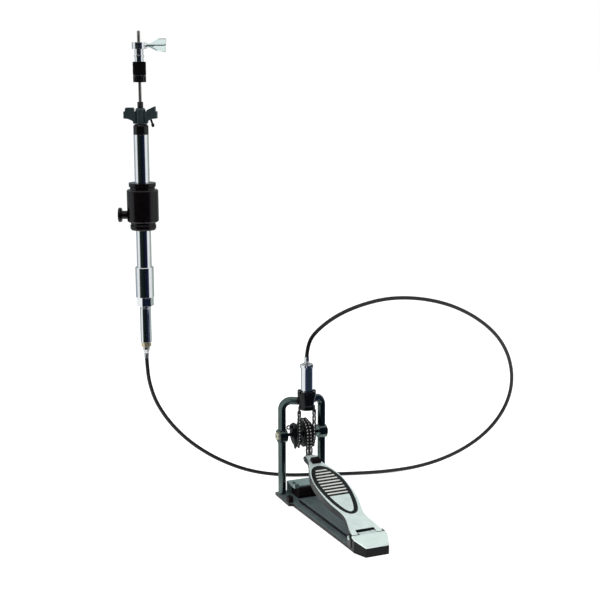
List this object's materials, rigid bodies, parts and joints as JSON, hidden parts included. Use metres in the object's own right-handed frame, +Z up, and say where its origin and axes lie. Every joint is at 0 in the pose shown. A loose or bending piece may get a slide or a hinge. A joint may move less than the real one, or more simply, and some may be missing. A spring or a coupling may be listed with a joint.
{
  "type": "remote hi-hat",
  "caption": "Remote cymbal stand drive: chain-drive floor pedal joined by a pull cable to a sprung rod unit with clutch, cymbal seat and clamp sleeve.",
  "frame": {"origin": "middle of the clamp sleeve, on the axis of the seat tube, where a stand's clamp holds the rod unit; the pedal stands on the floor 574 mm below", "axes": "+Z up along the pull rod, -Y towards the player and the heel of the pedal, +X to the player's right across the pedal"},
  "size_m": [0.7934, 0.5059, 0.902],
  "materials": {
    "chrome": "polished",
    "black_plastic": "satin black",
    "black_steel": "gloss black",
    "grey_steel": "zinc plated",
    "chain_steel": "oiled black",
    "spring_steel": "bright wire",
    "cast_silver": "satin cast",
    "black_field": "gloss black paint",
    "heel_black": "gloss black",
    "rubber": "matte",
    "felt": "pressed felt",
    "brass": "turned",
    "cable_jacket": "smooth jacket"
  },
  "bodies": {
    "frame": {"seat_tube": "chrome", "seat_socket": "black_plastic", "rod_guide": "black_plastic", "clamp_sleeve": "black_plastic", "spring_housing": "chrome", "spring_seat": "black_plastic", "return_spring": "spring_steel", "cable_socket": "chrome", "upper_ferrule": "chrome", "cable": "cable_jacket", "lower_ferrule": "chrome", "cable_cup": "black_steel", "left_post": "black_steel", "right_post": "black_steel", "axle_bearings": "grey_steel", "bearing_caps": "brass", "cross_bracket": "grey_steel", "rubber_blocks": "rubber", "base_plate": "black_steel", "heel_block": "heel_black", "heel_plate": "cast_silver", "hinge_ears": "black_steel", "hinge_pin": "chrome"},
    "rod": {"pull_rod": "chrome", "spring_cap": "black_plastic"},
    "clutch": {"clutch_tube": "chrome", "clutch_collar": "chrome", "clutch_felts": "felt"},
    "clutch_screw": {"clutch_wing_screw": "chrome"},
    "clutch_nut": {"clutch_nut": "black_plastic"},
    "seat": {"cymbal_seat": "black_plastic", "seat_pads": "rubber"},
    "tilt_screw": {"tilt_screw": "black_steel"},
    "clamp_knob": {"clamp_knob": "black_plastic"},
    "lock_nut": {"lock_nut": "chrome"},
    "brass_nut": {"brass_nut": "brass"},
    "adjuster": {"adjuster_barrel": "chrome"},
    "wheel": {"axle": "black_steel", "drive_wheel": "black_steel", "side_wheels": "black_steel", "hub_collar": "black_steel", "drive_chain_held": "chain_steel", "pull_chains_held": "chain_steel"},
    "hub_screw": {"hub_loop_screw": "black_steel"},
    "footboard": {"footboard": "cast_silver", "footboard_field": "black_field", "toe_pin": "chrome", "toe_block": "rubber"},
    "drive_run": {"drive_chain_run": "chain_steel"},
    "yoke": {"wire_yoke": "black_steel", "lower_inner_wire": "grey_steel", "pull_chain_runs": "chain_steel"},
    "drive_link_1": {"drive_chain_link_1": "chain_steel"},
    "drive_link_2": {"drive_chain_link_2": "chain_steel"},
    "drive_link_3": {"drive_chain_link_3": "chain_steel"},
    "drive_link_4": {"drive_chain_link_4": "chain_steel"},
    "pull_links_1": {"pull_chain_links_1": "chain_steel"},
    "pull_links_2": {"pull_chain_links_2": "chain_steel"},
    "pull_links_3": {"pull_chain_links_3": "chain_steel"},
    "pull_links_4": {"pull_chain_links_4": "chain_steel"}
  },
  "joints": [
    {"name": "footboard_press", "type": "hinge", "parent": "frame", "child": "footboard", "pos_m": [0.273, -0.43, -0.552], "axis": [1, 0, 0], "range_deg": [-6.05, 0], "stiffness_Nm_per_rad": 40, "springref_deg": 11.46},
    {"name": "wheel_turn", "type": "hinge", "parent": "frame", "child": "wheel", "pos_m": [0.273, -0.137, -0.449], "axis": [1, 0, 0], "range_deg": [0, 60.02]},
    {"name": "rod_pull", "type": "slide", "parent": "frame", "child": "rod", "axis": [0, 0, -1], "range_m": [0, 0.02542], "deforming": ["return_spring"]},
    {"name": "yoke_pull", "type": "slide", "parent": "frame", "child": "yoke", "axis": [0, 0, -1], "range_m": [0, 0.02542]},
    {"name": "drive_link_1_bend", "type": "hinge", "parent": "wheel", "child": "drive_link_1", "pos_m": [0.273, -0.15333, -0.42706], "axis": [1, 0, 0], "range_deg": [-13.35, 0]},
    {"name": "drive_link_2_bend", "type": "hinge", "parent": "drive_link_1", "child": "drive_link_2", "pos_m": [0.273, -0.15795, -0.43142], "axis": [1, 0, 0], "range_deg": [-13.35, 0]},
    {"name": "drive_link_3_bend", "type": "hinge", "parent": "drive_link_2", "child": "drive_link_3", "pos_m": [0.273, -0.16144, -0.43673], "axis": [1, 0, 0], "range_deg": [-13.35, 0]},
    {"name": "drive_link_4_bend", "type": "hinge", "parent": "drive_link_3", "child": "drive_link_4", "pos_m": [0.273, -0.16361, -0.44269], "axis": [1, 0, 0], "range_deg": [-13.35, 0]},
    {"name": "drive_run_tilt", "type": "hinge", "parent": "footboard", "child": "drive_run", "pos_m": [0.273, -0.16435, -0.49345], "axis": [1, 0, 0], "range_deg": [0, 11.9]},
    {"name": "pull_links_1_bend", "type": "hinge", "parent": "wheel", "child": "pull_links_1", "pos_m": [0.273, -0.16132, -0.449], "axis": [1, 0, 0], "range_deg": [-7.52, 0]},
    {"name": "pull_links_2_bend", "type": "hinge", "parent": "pull_links_1", "child": "pull_links_2", "pos_m": [0.273, -0.16132, -0.44265], "axis": [1, 0, 0], "range_deg": [-15.02, 0]},
    {"name": "pull_links_3_bend", "type": "hinge", "parent": "pull_links_2", "child": "pull_links_3", "pos_m": [0.273, -0.16132, -0.4363], "axis": [1, 0, 0], "range_deg": [-15.02, 0]},
    {"name": "pull_links_4_bend", "type": "hinge", "parent": "pull_links_3", "child": "pull_links_4", "pos_m": [0.273, -0.16132, -0.42995], "axis": [1, 0, 0], "range_deg": [-15.02, 0]},
    {"name": "clutch_slide", "type": "slide", "parent": "rod", "child": "clutch", "axis": [0, 0, 1], "range_m": [-0.004, 0.018]},
    {"name": "clutch_screw_turn", "type": "hinge", "parent": "clutch", "child": "clutch_screw", "pos_m": [0, 0, 0.30045], "axis": [0.9205, -0.3907, 0], "continuous": true},
    {"name": "clutch_nut_turn", "type": "hinge", "parent": "clutch", "child": "clutch_nut", "pos_m": [0, 0, 0.239], "axis": [0, 0, 1], "continuous": true},
    {"name": "seat_tilt", "type": "hinge", "parent": "frame", "child": "seat", "pos_m": [0, 0, 0.15575], "axis": [0.3907, 0.9205, 0], "range_deg": [-4, 4]},
    {"name": "tilt_screw_turn", "type": "hinge", "parent": "seat", "child": "tilt_screw", "pos_m": [0.01526, -0.00648, 0.17242], "axis": [0.2845, -0.1207, -0.9511], "continuous": true},
    {"name": "clamp_knob_turn", "type": "hinge", "parent": "frame", "child": "clamp_knob", "pos_m": [0, 0, -0.018], "axis": [-0.9205, 0.3907, 0], "continuous": true},
    {"name": "lock_nut_turn", "type": "hinge", "parent": "frame", "child": "lock_nut", "pos_m": [0, 0, -0.187], "axis": [0, 0, 1], "continuous": true},
    {"name": "brass_nut_turn", "type": "hinge", "parent": "frame", "child": "brass_nut", "pos_m": [0, 0, -0.273], "axis": [0, 0, 1], "continuous": true},
    {"name": "adjuster_turn", "type": "hinge", "parent": "frame", "child": "adjuster", "pos_m": [0.273, -0.16132, -0.334], "axis": [0, 0, 1], "continuous": true},
    {"name": "hub_screw_turn", "type": "hinge", "parent": "wheel", "child": "hub_screw", "pos_m": [0.24985, -0.137, -0.434], "axis": [1, 0, 0], "continuous": true}
  ],
  "couplings": [
    {"joint": "wheel_turn", "follows": "footboard_press", "ratio": -9.9101},
    {"joint": "rod_pull", "follows": "footboard_press", "m_per_rad": -0.24037},
    {"joint": "yoke_pull", "follows": "footboard_press", "m_per_rad": -0.24037},
    {"joint": "drive_link_1_bend", "follows": "footboard_press", "ratio": 2.2023},
    {"joint": "drive_link_2_bend", "follows": "footboard_press", "ratio": 2.2023},
    {"joint": "drive_link_3_bend", "follows": "footboard_press", "ratio": 2.2023},
    {"joint": "drive_link_4_bend", "follows": "footboard_press", "ratio": 2.2023},
    {"joint": "drive_run_tilt", "follows": "footboard_press", "ratio": -1.9616},
    {"joint": "pull_links_1_bend", "follows": "footboard_press", "ratio": 1.2388},
    {"joint": "pull_links_2_bend", "follows": "footboard_press", "ratio": 2.4775},
    {"joint": "pull_links_3_bend", "follows": "footboard_press", "ratio": 2.4775},
    {"joint": "pull_links_4_bend", "follows": "footboard_press", "ratio": 2.4775}
  ]
}
